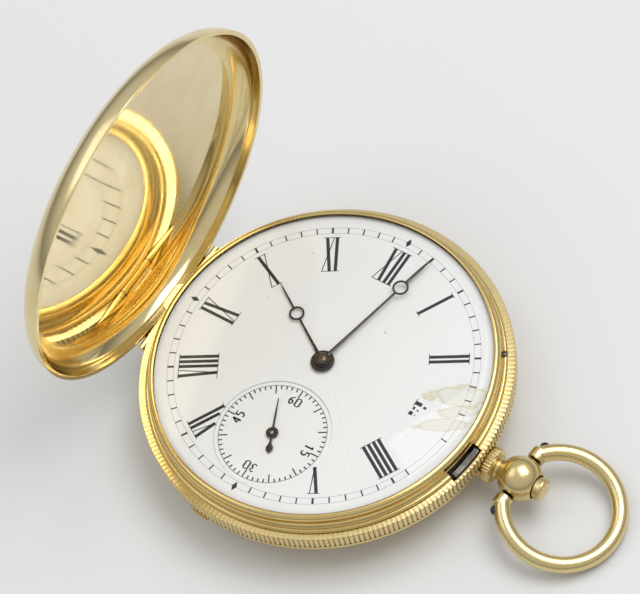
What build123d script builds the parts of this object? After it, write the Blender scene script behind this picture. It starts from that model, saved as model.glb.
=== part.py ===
from build123d import *

import math
import os

os.makedirs("parts", exist_ok=True)

# A hunter pocket watch: hinged front cover, back cover and cuvette round a reeded case,
# with a bar movement inside. Millimetres. The back's flat lies on z = 0 and the dial faces
# +Z. +X is 3 o'clock, where the pendant is, and +Y is 12 o'clock.

# ---- Driving sizes ----------------------------------------------------------------------
case_radius = 22.9
rim_radius = 22.75          # outer edge of both covers' walls
rim_height = 7.45           # flat rim that the front cover shuts on
band_bottom = 5.7           # underside of the reeded band
dial_top = 9.2
dial_thickness = 0.6
dial_radius = 20.75
opening_radius = 20.6       # opening of the bezel
bezel_radius = 22.0
cavity_radius = 20.9        # room for the case springs, outside the movement
movement_radius = 18.7

plate_low, plate_top = 6.4, 7.8
bridge_low, bridge_top = 2.6, 3.6
cuvette_low, cuvette_top = 1.75, 2.05

# Front cover hinge, along Y on the 9 o'clock side. The cover is built shut, then opened.
front_hinge_x, front_hinge_z = -21.95, 7.0
front_open_angle = 84.3
# Back cover and cuvette hinges, along X on the 12 o'clock side.
back_hinge_y, back_hinge_z = 22.0, 5.3
cuvette_hinge_y, cuvette_hinge_z = 19.9, 2.7
knuckle_radius = 0.45
pin_radius = 0.2
running_gap = 0.03

# Pendant, push piece and bow, on an axis along X.
pendant_height = 4.3
ball_x, ball_radius = 27.2, 2.75
ball_face_x = 29.45
button_radius, button_face_x = 1.35, 30.6
stem_radius = 0.7
bow_radius, bow_wire_radius = 6.95, 1.0
bow_reach = 5.9             # from the pivot to the bow's centre
bow_droop = 14.85           # degrees below level, with its far end on the table
bow_yaw = -4.0              # its pivot stands slightly out of square
catch_angle = -7.0
bezel_pin_radius = 21.8     # from the watch's centre
spring_screw_radius = 20.1  # where the two case springs are screwed
lock_screw_angle, fly_screw_angle = 35.4, 142.0

# Going train, as (teeth, module) pairs that mesh.
barrel_teeth, centre_leaves, barrel_module = 80, 10, 0.2
centre_teeth, third_leaves, centre_module = 80, 10, 0.17
third_teeth, fourth_leaves, third_module = 75, 10, 0.155
fourth_teeth, escape_leaves, fourth_module = 70, 7, 0.13
cannon_leaves, minute_teeth, cannon_module = 12, 36, 0.1625
minute_leaves, hour_teeth, hour_module = 10, 40, 0.156
escape_teeth, escape_radius = 15, 3.38


def gear_distance(teeth_a, teeth_b, module):
    return (teeth_a + teeth_b) * module / 2


def polar(radius, angle, start=(0.0, 0.0)):
    turn = math.radians(angle)
    return (start[0] + radius * math.cos(turn), start[1] + radius * math.sin(turn))


def heading(start, end):
    return math.degrees(math.atan2(end[1] - start[1], end[0] - start[0]))


def meeting_point(a, reach_a, b, reach_b, side):
    """The point at the two given distances from a and b, on one side of the line a to b."""
    gap = math.dist(a, b)
    along = (gap**2 + reach_a**2 - reach_b**2) / (2 * gap)
    across = math.sqrt(reach_a**2 - along**2) * side
    base = polar(along, heading(a, b), a)
    return polar(across, heading(a, b) + 90, base)


# Places of the arbors, looking at the dial.
centre_at = (0.0, 0.0)
fourth_at = (0.0, -10.9)
barrel_at = polar(gear_distance(barrel_teeth, centre_leaves, barrel_module), 100)
third_at = meeting_point(
    centre_at, gear_distance(centre_teeth, third_leaves, centre_module),
    fourth_at, gear_distance(third_teeth, fourth_leaves, third_module), -1)
escape_at = polar(gear_distance(fourth_teeth, escape_leaves, fourth_module), 10, fourth_at)
lever_at = polar(3.93, 50, escape_at)
balance_at = polar(4.6, 50, lever_at)
minute_at = polar(gear_distance(cannon_leaves, minute_teeth, cannon_module), 62)

# Heights of the wheels, as (low, high), measured down from the plate.
barrel_drum = (plate_low - 2.6, plate_low - 1.05)
barrel_rim = (plate_low - 1.05, plate_low - 0.65)
centre_pinion_z = (plate_low - 1.15, plate_low - 0.55)
centre_wheel_z = (plate_low - 0.45, plate_low - 0.25)
third_pinion_z = (plate_low - 0.65, plate_low - 0.1)
third_wheel_z = (plate_low - 1.5, plate_low - 1.3)
fourth_pinion_z = (plate_low - 1.65, plate_low - 1.05)
fourth_wheel_z = (plate_low - 2.1, plate_low - 1.95)
escape_pinion_z = (plate_low - 2.25, plate_low - 1.7)
escape_wheel_z = (plate_low - 1.0, plate_low - 0.8)
lever_z = (plate_low - 1.0, plate_low - 0.75)
lever_cock_z = (plate_low - 1.55, plate_low - 1.15)
roller_z = (plate_low - 1.75, plate_low - 1.5)
balance_z = (plate_low - 2.5, plate_low - 1.8)
hairspring_z = (3.25, 3.5)
balance_cock_z = (2.45, 3.15)
ratchet_z = (2.15, 2.55)
minute_wheel_z = (plate_top + 0.05, plate_top + 0.25)
minute_pinion_z = (plate_top + 0.25, plate_top + 0.6)
hour_wheel_z = (plate_top + 0.32, plate_top + 0.55)
cannon_z = (plate_top + 0.02, plate_top + 0.28)

bottom_up = (Align.CENTER, Align.CENTER, Align.MIN)


# ---- Shape helpers ----------------------------------------------------------------------
def outline(start, *steps):
    """A closed face from lines, (x, y), and arcs, ((through x, y), (end x, y))."""
    edges, here = [], start
    for step in steps:
        if isinstance(step[0], tuple):
            edges.append(ThreePointArc(here, step[0], step[1]))
            here = step[1]
        else:
            edges.append(Line(here, step))
            here = step
    if math.dist(here, start) > 1e-6:
        edges.append(Line(here, start))
    return make_face(edges)


def dome(top, radius, edge):
    """The middle point of an arc centred on the Z axis, from (0, top) to (radius, edge)."""
    drop = top - edge
    sphere = (radius**2 + drop**2) / (2 * drop)
    return (radius / 2, top - sphere + math.sqrt(sphere**2 - radius**2 / 4))


def turned(start, *steps):
    """A solid turned about Z from an outline of (radius, height) points."""
    return revolve(Plane.XZ * outline(start, *steps), Axis.Z)


def disc(radius, low, high, at=(0.0, 0.0)):
    return Pos(at[0], at[1], low) * Cylinder(radius, high - low, align=bottom_up)


def ring(outer, inner, low, high, at=(0.0, 0.0)):
    return disc(outer, low, high, at) - disc(inner, low, high, at)


def block(x, y, z):
    """A box between two (low, high) values on each axis."""
    middle = [(a + b) / 2 for a, b in (x, y, z)]
    return Pos(*middle) * Box(x[1] - x[0], y[1] - y[0], z[1] - z[0])


def rod_x(radius, x, y, z):
    """A rod along X between two x values."""
    return Pos((x[0] + x[1]) / 2, y, z) * Rot(0, 90, 0) * Cylinder(radius, x[1] - x[0])


def rod_y(radius, x, y, z):
    """A rod along Y between two y values."""
    return Pos(x, (y[0] + y[1]) / 2, z) * Rot(90, 0, 0) * Cylinder(radius, y[1] - y[0])


def strip(start, end, width, low, high):
    """A flat bar with round ends."""
    middle = ((start[0] + end[0]) / 2, (start[1] + end[1]) / 2)
    flat = SlotCenterToCenter(math.dist(start, end), width)
    return extrude(Pos(*middle, low) * Rot(0, 0, heading(start, end)) * flat, high - low)


def arc_band(inner, outer, first, last, low, high):
    """Part of a ring between two angles."""
    middle = (first + last) / 2
    face = outline(
        polar(outer, first),
        (polar(outer, middle), polar(outer, last)),
        polar(inner, last),
        (polar(inner, middle), polar(inner, first)),
    )
    return extrude(Pos(0, 0, low) * face, high - low)


def gear(teeth, module, z, at, towards, pinion=False):
    """Watch teeth with rounded tips. A wheel has a tooth towards its mate, a pinion a gap."""
    pitch = teeth * module / 2
    if pinion:
        above, below, thick, tip_share = 0.75, 1.35, 1.1, 0.45
    else:
        above, below, thick, tip_share = 1.05, 1.25, 1.45, 0.3
    half = thick / teeth
    first = math.radians(heading(at, towards)) + (math.pi / teeth if pinion else 0.0)
    points = []
    for index in range(teeth):
        middle = first + index * 2 * math.pi / teeth
        for radius, turn in (
            (pitch - below * module, -half),
            (pitch, -half),
            (pitch + 0.65 * above * module, -half * 0.72),
            (pitch + above * module, -half * tip_share),
            (pitch + above * module, half * tip_share),
            (pitch + 0.65 * above * module, half * 0.72),
            (pitch, half),
            (pitch - below * module, half),
        ):
            points.append(polar(radius, math.degrees(middle + turn), at))
    return extrude(Pos(0, 0, z[0]) * make_face(Polyline(points, close=True)), z[1] - z[0])


def crossed(wheel, at, z, hub, rim, arms, first=0.0):
    """Cuts the openings between a wheel's arms."""
    arm_width = 0.55
    opening = ring(rim, hub, z[0], z[1], at)
    for index in range(arms):
        end = polar(rim + 0.2, first + index * 360 / arms, at)
        opening -= strip(at, end, arm_width, z[0], z[1])
    return wheel - opening


def spiral(inner, outer, turns, width, z, at):
    """A flat coiled spring."""
    steps = int(turns * 20)
    sides = []
    for offset in (-width / 2, width / 2):
        side = []
        for index in range(steps + 1):
            share = index / steps
            side.append(polar(inner + (outer - inner) * share + offset, 360 * turns * share, at))
        sides.append(side)
    face = make_face(Polyline(sides[0] + sides[1][::-1], close=True))
    return extrude(Pos(0, 0, z[0]) * face, z[1] - z[0])


def screw(at, seat, head_radius, head_height, shank_radius, shank_end):
    """A slotted screw with its head below its seat, and its shank going up."""
    head = disc(head_radius, seat - head_height, seat, at)
    slot_width = head_radius * 0.3
    slot = Pos(*at, seat - head_height) * Box(3 * head_radius, slot_width, head_height * 0.8)
    return head - slot + disc(shank_radius, seat, shank_end, at)


def save(name, shape):
    export_step(shape, f"parts/{name}.step")


# ---- Case -------------------------------------------------------------------------------
hinge_half = 6.5            # half length of the back cover's hinge and the front leaf
front_half = 8.2            # half length of the front cover's row of knuckles
middle_half = 2.55          # half length of the case's own knuckle


def mid_case():
    body = turned(
        (19.1, 3.0), (20.3, 3.0), (20.9, 3.6), (21.5, 4.2), (22.2, 5.0), (22.2, band_bottom),
        (case_radius, band_bottom), (case_radius, 7.34), (22.79, rim_height),
        (21.35, rim_height), (21.35, 7.75),
        (21.0, 7.75), (21.0, 7.3), (18.9, 7.3), (18.9, plate_low), (cavity_radius, plate_low),
        (cavity_radius, 3.9), (20.3, 3.6), (19.1, 3.6),
    )
    body += rod_x(2.1, (20.95, case_radius), 0, pendant_height)
    # Room for the front cover's knuckles and leaf, and the case's own knuckle between them.
    body -= block((-24, front_hinge_x + 0.1), (-7.2, 7.2), (6.45, 7.6))
    body -= rod_y(0.5, front_hinge_x, (-8.4, 8.4), front_hinge_z)
    body += rod_y(knuckle_radius, front_hinge_x, (-middle_half, middle_half), front_hinge_z)
    body += block((-22.25, -21.65), (-middle_half, middle_half), (6.3, front_hinge_z))
    body -= rod_y(pin_radius, front_hinge_x, (-middle_half, middle_half), front_hinge_z)
    # The same for the back cover.
    body -= block((-hinge_half - 0.1, hinge_half + 0.1), (21.45, 24), (4.6, 5.85))
    body += rod_x(knuckle_radius, (-middle_half, middle_half), back_hinge_y, back_hinge_z)
    body += block((-middle_half, middle_half), (21.7, 22.3), (back_hinge_z, 6.0))
    body -= rod_x(pin_radius, (-hinge_half, hinge_half), back_hinge_y, back_hinge_z)
    # The cuvette's lug.
    body += rod_x(0.28, (-0.9, 0.9), cuvette_hinge_y, cuvette_hinge_z)
    body += block((-0.9, 0.9), (19.65, 20.15), (cuvette_hinge_z, 3.3))
    body -= rod_x(0.14, (-1.0, 1.0), cuvette_hinge_y, cuvette_hinge_z)
    # The slot that the catch comes up through, the push piece's bore and the spring screws.
    body -= arc_band(20.7, 22.42, catch_angle - 6.6, catch_angle + 6.6, 5.35, 9)
    body -= rod_x(stem_radius + 0.04, (20, 24), 0, pendant_height)
    for angle in (lock_screw_angle, fly_screw_angle):
        body -= disc(0.32, 6, 7.1, polar(spring_screw_radius, angle))
    return body


def bezel():
    body = turned(
        (21.4, 7.5), (bezel_radius, 7.5), (bezel_radius, 7.65),
        ((21.88, 7.87), (21.55, 7.93)), ((21.2, 8.55), (21.36, 9.3)),
        ((21.15, 9.74), (20.75, 9.88)), (opening_radius, 9.84), (opening_radius, 9.7),
        (20.8, 9.7), (20.8, 9.36), (opening_radius, 9.36), (opening_radius, 9.25),
        (20.85, 9.25), (20.85, 7.8), (21.4, 7.8),
    )
    body -= arc_band(21.3, 23, catch_angle - 6.6, catch_angle + 6.6, 7.4, 8.35)
    return body - disc(0.28, 7.4, 8.1, polar(bezel_pin_radius, lock_screw_angle))


def bezel_pin():
    return disc(0.28, 7.55, 7.95, polar(bezel_pin_radius, lock_screw_angle))


def crystal():
    return turned(
        (0, 10.95), (dome(10.95, 19.3, 10.15), (19.3, 10.15)), ((19.9, 9.85), (20.2, 9.4)),
        (20.78, 9.4), (20.78, 9.68), (20.5, 9.68), ((20.25, 10.1), (19.6, 10.38)),
        (dome(11.3, 19.6, 10.38), (0, 11.3)),
    )


def front_cover_shut():
    shell = turned(
        (22.1, rim_height), (rim_radius, rim_height), ((22.55, 8.6), (21.9, 9.75)),
        ((20.4, 10.75), (18.0, 11.3)), (dome(12.1, 18.0, 11.3), (0, 12.1)), (0, 11.6),
        (dome(11.6, 19.5, 10.55), (19.5, 10.55)), ((21.3, 9.86), (22.05, 8.2)),
    )
    y_room = (-hinge_half, hinge_half)
    shell -= block((-24, -22.35), y_room, (7, 8.0))
    outside = disc(case_radius, 6, 9)
    for side in (-1, 1):
        y = sorted((side * (middle_half + 0.05), side * front_half))
        y_leaf = sorted((side * (middle_half + 0.05), side * hinge_half))
        shell += outside & block((-22.35, -22.06), y_leaf, (front_hinge_z, 8.2))
        shell += rod_y(knuckle_radius, front_hinge_x, y, front_hinge_z)
        shell -= rod_y(pin_radius + running_gap, front_hinge_x, y, front_hinge_z)
    y_middle = (-middle_half - 0.05, middle_half + 0.05)
    shell -= rod_y(0.5, front_hinge_x, y_middle, front_hinge_z)
    # The recess that the catch snaps into.
    return shell - arc_band(21, 22.42, catch_angle - 7, catch_angle + 7, 7, 8.25)


def front_cover():
    to_axis = Pos(front_hinge_x, 0, front_hinge_z)
    back = Pos(-front_hinge_x, 0, -front_hinge_z)
    return to_axis * Rot(0, -front_open_angle, 0) * back * front_cover_shut()


def hinge_pins():
    front = rod_y(pin_radius, front_hinge_x, (-8.0, 8.0), front_hinge_z)
    back = rod_x(pin_radius, (-6.1, 6.1), back_hinge_y, back_hinge_z)
    cuvette_pin = rod_x(0.14, (-2.6, 2.6), cuvette_hinge_y, cuvette_hinge_z)
    return front, back, cuvette_pin


def back_cover():
    shell = turned(
        (0, 0), (12.5, 0), ((16.5, 0.32), (19.6, 1.35)), ((21.5, 3.05), (22.75, 5.0)),
        (22.85, 5.25), (22.85, 5.62), (22.4, 5.62), (22.4, 5.15), ((21.1, 3.3), (19.3, 1.75)),
        ((16.3, 0.72), (12.5, 0.42)), (0, 0.42),
    )
    shell -= rod_x(2.35, (19.5, 24), 0, pendant_height)
    shell -= block((-hinge_half, hinge_half), (22.35, 24), (4.7, 6))
    shell -= rod_x(0.5, (-middle_half - 0.05, middle_half + 0.05), back_hinge_y, back_hinge_z)
    shell -= block((-middle_half - 0.05, middle_half + 0.05), (21, 24), (4.75, 6))
    outside = disc(22.85, 3, 6)
    for side in (-1, 1):
        x = sorted((side * (middle_half + 0.05), side * hinge_half))
        knuckle = rod_x(knuckle_radius, x, back_hinge_y, back_hinge_z)
        leaf = block(x, (21.75, 22.35), (4.3, back_hinge_z))
        shell += outside & (knuckle + leaf)
        shell -= rod_x(pin_radius + running_gap, x, back_hinge_y, back_hinge_z)
    # Thumb lip beside the 6 o'clock side.
    return shell + arc_band(22.7, 23.3, -105.2, -98.8, 5.1, 5.5)


def cuvette():
    shell = turned(
        (0, cuvette_low), (17.2, cuvette_low), (18.6, 2.15), (19.2, 2.6), (19.85, 2.65),
        (19.85, 2.95), (19.1, 2.95), (18.4, 2.5), (17.1, cuvette_top), (0, cuvette_top),
    )
    for at in (centre_at, barrel_at):
        shell -= disc(1.6, 1, 3, at)
    shell -= rod_x(0.33, (-0.95, 0.95), cuvette_hinge_y, cuvette_hinge_z)
    shell -= block((-0.95, 0.95), (19.55, 21), (2, 3.2))
    for side in (-1, 1):
        x = sorted((side * 0.95, side * 2.8))
        shell += rod_x(0.28, x, cuvette_hinge_y, cuvette_hinge_z)
        shell += block(x, (19.2, 19.9), (2.62, 2.9))
        shell -= rod_x(0.14 + running_gap, x, cuvette_hinge_y, cuvette_hinge_z)
    return shell


def bow_place():
    return Pos(ball_x, 0, pendant_height) * Rot(0, 0, bow_yaw)


def pendant():
    body = rod_x(2.15, (case_radius + 0.02, 23.95), 0, pendant_height)
    body += rod_x(1.25, (23.95, 25.2), 0, pendant_height)
    body += Pos(ball_x, 0, pendant_height) * Sphere(ball_radius)
    body -= block((ball_face_x, 32), (-4, 4), (0, 9))
    body -= rod_x(1.5, (28.2, 32), 0, pendant_height)
    body -= rod_x(stem_radius + 0.04, (22, 30), 0, pendant_height)
    return body - bow_place() * rod_y(0.45, 0, (-6, 6), 0)


def push_piece():
    head = rod_x(button_radius, (28.9, button_face_x), 0, pendant_height)
    head = chamfer(head.faces().sort_by(Axis.X)[-1].edges(), 0.2)
    return head + rod_x(stem_radius, (20.9, 29.0), 0, pendant_height)


def lock_spring():
    arm = arc_band(20.35, 20.72, -13.0, lock_screw_angle, 4.3, 5.1)
    eye_at = polar(spring_screw_radius, lock_screw_angle)
    nose = arc_band(20.35, 20.72, catch_angle - 5.5, catch_angle + 5.5, 4.3, 6.1)
    nose += arc_band(20.35, 22.3, catch_angle - 5.5, catch_angle + 5.5, 5.5, 6.1)
    nose += arc_band(21.72, 22.3, catch_angle - 5.5, catch_angle + 5.5, 5.5, 7.95)
    eye = disc(0.72, 4.3, 6.35, eye_at)
    return arm + nose + eye - disc(0.36, 4, 7, eye_at)


def fly_spring():
    arm = arc_band(20.3, 20.7, fly_screw_angle, 187.0, 4.3, 5.2)
    eye_at = polar(spring_screw_radius, fly_screw_angle)
    return arm + disc(0.72, 4.3, 6.4, eye_at) - disc(0.32, 4, 7, eye_at)


def spring_screw(angle):
    return screw(polar(spring_screw_radius, angle), 4.28, 0.65, 0.4, 0.32, 7.0)


def bow():
    # Drawn level, with the pivot at the origin and the loop out along X, then lowered.
    half_opening = math.degrees(math.acos(bow_reach / bow_radius))
    sweep_angle = 360 - 2 * half_opening
    loop = Torus(bow_radius, bow_wire_radius, major_angle=sweep_angle)
    loop = Pos(bow_reach, 0, 0) * Rot(0, 0, 180 + half_opening) * loop
    for side in (-1, 1):
        y = sorted((side * 2.86, side * 4.35))
        loop += rod_y(1.05, 0, y, 0)
        loop -= rod_y(0.72, 0, sorted((side * 4.35, side * 6)), 0)
    loop -= Sphere(2.85)
    loop -= rod_y(0.5, 0, (-6, 6), 0)
    return bow_place() * Rot(0, bow_droop, 0) * loop


def bow_screws():
    screws = []
    for side in (-1, 1):
        y = sorted((side * 1.7, side * 4.7))
        shank = rod_y(0.45, 0, y, 0)
        screws.append(bow_place() * (shank + Pos(0, side * 4.95, 0) * Sphere(0.62)))
    bore = rod_x(1.5, (20, 32), 0, pendant_height)
    return Compound(children=[one - bore for one in screws])


# ---- Dial and hands ---------------------------------------------------------------------
sunk_radius = 7.1


def dial():
    body = disc(dial_radius, dial_top - dial_thickness, dial_top)
    body -= disc(1.2, 8, 10)
    body -= disc(sunk_radius, dial_top - 0.3, 10, fourth_at)
    body -= disc(0.5, 8, 10, fourth_at)
    # Copper feet that stand in the plate.
    for angle in (20, 150, 265):
        body += disc(0.45, 7.35, dial_top - 0.5, polar(17.8, angle))
    return body


def seconds_dial():
    return ring(sunk_radius - 0.02, 0.5, dial_top - 0.3, dial_top - 0.12, fourth_at)


def moon_hand(length, ring_at, ring_radius, collet, angle, low, at=(0.0, 0.0), pipe=0.5):
    """A hand with an open ring on a thin shaft, tapering to its point."""
    high = low + 0.16
    tip = [(ring_at, -0.24), (length, -0.09), (length, 0.09), (ring_at, 0.24)]
    shaft = extrude(Pos(0, 0, low) * make_face(Polyline(tip, close=True)), high - low)
    shaft += strip((0, 0), (ring_at, 0), 0.34, low, high)
    shaft += disc(ring_radius, low, high, (ring_at, 0))
    shaft -= disc(ring_radius - 0.26, low - 1, high + 1, (ring_at, 0))
    shaft += disc(collet, low - 0.1, high, (0, 0))
    shaft -= disc(pipe, low - 1, high + 1)
    return Pos(*at, 0) * Rot(0, 0, angle) * shaft


def hour_hand():
    return moon_hand(12.5, 7.65, 0.95, 1.45, 90 - 302, dial_top + 0.3, pipe=1.1)


def minute_hand():
    return moon_hand(18.7, 13.2, 1.0, 0.85, 90 - 12.6, dial_top + 0.62, pipe=0.8)


def seconds_hand():
    low = dial_top + 0.08
    shaft = strip((0, 0), (4.7, 0), 0.16, low, low + 0.12)
    shaft += strip((0, 0), (-2.0, 0), 0.16, low, low + 0.12)
    spade = make_face(Polyline([(-1.7, 0.08), (-2.1, 0.38), (-2.65, 0), (-2.1, -0.38),
                                (-1.7, -0.08)], close=True))
    shaft += extrude(Pos(0, 0, low) * spade, 0.12)
    shaft += disc(0.75, low, low + 0.2)
    shaft -= disc(0.2, low - 1, low + 0.15)
    return Pos(*fourth_at, 0) * Rot(0, 0, 90 + 24.8) * shaft


# ---- Motion work, under the dial ----------------------------------------------------------
def cannon_pinion():
    body = gear(cannon_leaves, cannon_module, cannon_z, centre_at, minute_at, pinion=True)
    body += disc(0.8, cannon_z[0], dial_top + 1.06)
    body = body - disc(0.47, 7, dial_top + 1.06)
    return body + turned((0, dial_top + 1.06), (0.8, dial_top + 1.06),
                         ((0.5, dial_top + 1.3), (0, dial_top + 1.35)))


def hour_wheel():
    body = gear(hour_teeth, hour_module, hour_wheel_z, centre_at, minute_at)
    body += disc(1.1, hour_wheel_z[0], dial_top + 0.5)
    return body - disc(0.8 + running_gap, 7, 11)


def minute_wheel():
    body = gear(minute_teeth, cannon_module, minute_wheel_z, minute_at, centre_at)
    body += gear(minute_leaves, hour_module, minute_pinion_z, minute_at, centre_at, pinion=True)
    return body - disc(0.3 + running_gap, 7, 9, minute_at)


# ---- Train --------------------------------------------------------------------------------
pivot_length = 0.5


def arbor(at, low, high, radius, pivot):
    """An arbor between the bridges and the plate, with a thin pivot at each end."""
    return disc(radius, low, high, at) + disc(pivot, low - pivot_length, high + pivot_length, at)


arbor_low, arbor_high = bridge_top + 0.08, plate_low - 0.06
pivots = {"third": 0.16, "fourth": 0.15, "escape": 0.12, "lever": 0.12, "balance": 0.1}


def centre_pinion():
    body = gear(centre_leaves, barrel_module, centre_pinion_z, centre_at, barrel_at, pinion=True)
    body += disc(0.7, arbor_low, arbor_high)
    # The arbor goes through the plate to carry the cannon, and out to a square at the back.
    body += disc(0.45, bridge_low - 0.1, dial_top + 1.02)
    return body + Pos(0, 0, 1.85) * Box(0.62, 0.62, 1.0, align=bottom_up)


def centre_wheel():
    body = gear(centre_teeth, centre_module, centre_wheel_z, centre_at, third_at)
    body = crossed(body, centre_at, centre_wheel_z, 1.5, 5.9, 5, 18)
    return body - disc(0.7, 5, 7)


def train_wheel(teeth, module, z, at, towards, arms, hub_radius, arbor_radius):
    body = gear(teeth, module, z, at, towards)
    rim = teeth * module / 2 - 4.5 * module
    body = crossed(body, at, z, hub_radius, rim, arms)
    return body - disc(arbor_radius, z[0] - 1, z[1] + 1, at)


def train_pinion(name, leaves, module, z, at, towards, radius=0.32):
    body = gear(leaves, module, z, at, towards, pinion=True)
    return body + arbor(at, arbor_low, arbor_high, radius, pivots[name])


def fourth_pinion():
    body = train_pinion("fourth", fourth_leaves, third_module, fourth_pinion_z, fourth_at,
                        third_at)
    # The long pivot that carries the seconds hand.
    return body + disc(0.2, plate_low - 0.2, dial_top + 0.2, fourth_at)


def escape_wheel():
    z = escape_wheel_z
    wheel = disc(2.45, z[0], z[1], escape_at)
    wheel = crossed(wheel, escape_at, z, 0.75, 2.0, 4)
    for index in range(escape_teeth):
        turn = 11 + index * 360 / escape_teeth
        points = [polar(2.35, turn - 5, escape_at), polar(2.35, turn + 4, escape_at),
                  polar(3.2, turn + 10, escape_at), polar(escape_radius, turn + 13, escape_at),
                  polar(3.15, turn + 6, escape_at)]
        tooth = make_face(Polyline(points, close=True))
        wheel += extrude(Pos(0, 0, z[0]) * tooth, z[1] - z[0])
    return wheel - disc(0.32, z[0] - 1, z[1] + 1, escape_at)


def lever():
    """The lever, drawn with its pivot at the origin and the balance out along X."""
    low, high = lever_z
    fork_at = 3.55
    body = strip((0, 0), (fork_at - 0.5, 0), 0.4, low, high)
    body += strip((fork_at - 0.5, -0.45), (fork_at - 0.5, 0.45), 0.35, low, high)
    for side in (-1, 1):
        body += strip((fork_at - 0.5, side * 0.42), (fork_at + 0.3, side * 0.36), 0.24, low, high)
        body += strip((0, 0), (-0.75, side * 1.75), 0.6, low, high)
        body -= pallet_shape(side, low - 0.1, high + 0.1)
    body += arbor((0, 0), lever_cock_z[1] + 0.05, arbor_high, 0.3, pivots["lever"])
    return Pos(*lever_at, 0) * Rot(0, 0, 50) * body


def pallet_shape(side, low, high):
    stone = block((-1.35, -0.45), (-0.14, 0.14), (low, high))
    return Pos(0, side * 1.75, 0) * Rot(0, 0, side * 12) * stone


def pallet_stones():
    stones = [pallet_shape(side, lever_z[0], lever_z[1]) for side in (-1, 1)]
    place = Pos(*lever_at, 0) * Rot(0, 0, 50)
    return Compound(children=[place * stone for stone in stones])


balance_radius = 7.2
balance_screws = 14


def balance_wheel():
    z = balance_z
    body = ring(balance_radius - 0.45, balance_radius - 1.1, z[0], z[1], balance_at)
    body += strip(polar(balance_radius - 0.8, 20, balance_at),
                  polar(balance_radius - 0.8, 200, balance_at), 0.7, z[0] + 0.1, z[0] + 0.4)
    body += disc(0.9, z[0] + 0.1, z[0] + 0.4, balance_at)
    for index in range(balance_screws):
        one = rod_x(0.26, (balance_radius - 0.5, balance_radius), 0, (z[0] + z[1]) / 2)
        turn = 20 + (index + 0.5) * 360 / balance_screws
        body += Pos(*balance_at, 0) * Rot(0, 0, turn) * one
    return body - disc(0.4, z[0] - 1, z[1] + 1, balance_at)


def balance_staff():
    low, high = balance_cock_z[1] + 0.06, arbor_high
    body = disc(0.4, low, high, balance_at)
    return body + disc(pivots["balance"], low - 0.35, high + 0.35, balance_at)


def roller():
    body = ring(0.95, 0.4, roller_z[0], roller_z[1], balance_at)
    jewel = disc(0.12, roller_z[1], lever_z[1] - 0.05, polar(0.7, 230, balance_at))
    return body + jewel


def hairspring():
    coil = spiral(1.0, 3.0, 9, 0.07, hairspring_z, balance_at)
    stud_at = polar(3.05, 0, balance_at)
    return coil + disc(0.16, hairspring_z[0] - 0.1, hairspring_z[1], stud_at)


# ---- Mainspring barrel and winding work ----------------------------------------------------
def barrel():
    body = gear(barrel_teeth, barrel_module, barrel_rim, barrel_at, centre_at)
    body += disc(7.4, barrel_drum[0], barrel_rim[1], barrel_at)
    body -= disc(6.95, barrel_drum[0] - 1, barrel_drum[1], barrel_at)
    return body - disc(0.9 + running_gap, 3, 7, barrel_at)


def barrel_cover():
    return ring(6.95, 0.9 + running_gap, barrel_drum[0], barrel_drum[0] + 0.3, barrel_at)


def barrel_arbor():
    body = disc(1.5, barrel_drum[0] + 0.35, barrel_drum[1] - 0.04, barrel_at)
    body += disc(0.9, bridge_top + 0.03, plate_low - 0.05, barrel_at)
    body += disc(0.6, ratchet_z[1], plate_low + 0.5, barrel_at)
    return body + Pos(*barrel_at, 1.85) * Box(0.84, 0.84, 0.72, align=bottom_up)


def mainspring():
    return spiral(1.75, 6.7, 8, 0.22, (barrel_drum[0] + 0.4, barrel_drum[1] - 0.1), barrel_at)


ratchet_teeth, ratchet_radius = 24, 2.3
click_at = polar(3.75, 205, barrel_at)


def ratchet_wheel():
    points = []
    for index in range(ratchet_teeth):
        turn = index * 360 / ratchet_teeth
        points += [polar(ratchet_radius, turn, barrel_at),
                   polar(ratchet_radius - 0.33, turn + 2, barrel_at)]
    face = make_face(Polyline(points, close=True))
    body = extrude(Pos(0, 0, ratchet_z[0]) * face, ratchet_z[1] - ratchet_z[0])
    return body - Pos(*barrel_at, 1) * Box(0.84, 0.84, 3, align=bottom_up)


def click():
    tip = polar(ratchet_radius + 0.27, 226, barrel_at)
    body = strip(click_at, tip, 0.45, ratchet_z[0], ratchet_z[1])
    return body + disc(0.55, *ratchet_z, click_at) - disc(0.3, 2, 3, click_at)


def click_spring():
    start, end = polar(5.6, 222, barrel_at), polar(4.35, 236, barrel_at)
    tail = polar(5.9, 200, barrel_at)
    body = strip(start, end, 0.16, ratchet_z[0] + 0.05, bridge_low)
    body += strip(start, tail, 0.2, ratchet_z[0] + 0.05, bridge_low)
    return body + disc(0.5, ratchet_z[0] + 0.05, bridge_low, tail)


# ---- Plate, bridges, jewels and screws -----------------------------------------------------
# Each bridge runs from its pivot to a foot that stands on the plate, and is screwed there.
bridges = {
    "centre_bridge": {"feet": [(-15.5, 0.4)], "pivot": centre_at, "width": 3.0},
    "third_bridge": {"feet": [(-14.2, -8.4)], "pivot": third_at, "width": 2.6},
    "fourth_bridge": {"feet": [(-6.2, -15.4)], "pivot": fourth_at, "width": 2.4},
    "escape_cock": {"feet": [(5.2, -15.7)], "pivot": escape_at, "width": 2.2},
}
barrel_feet = [(-12.4, 10.2), (8.6, 12.6)]
foot_radius = 1.6
balance_foot = (15.4, 5.4)
lever_foot = (12.6, -11.6)
jewel_radius = 0.75


def foot(at, high=bridge_top, radius=foot_radius):
    return disc(radius, high, plate_low, at)


def bridge(name):
    parts = bridges[name]
    pivot, end = parts["pivot"], parts["feet"][0]
    body = strip(pivot, end, parts["width"], bridge_low, bridge_top)
    body += disc(foot_radius, bridge_low, bridge_top, end) + foot(end)
    body -= disc(0.4, 2, 7, end)
    hole = 0.45 + running_gap if name == "centre_bridge" else jewel_radius
    return body - disc(hole, 2, 4, pivot)


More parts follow.
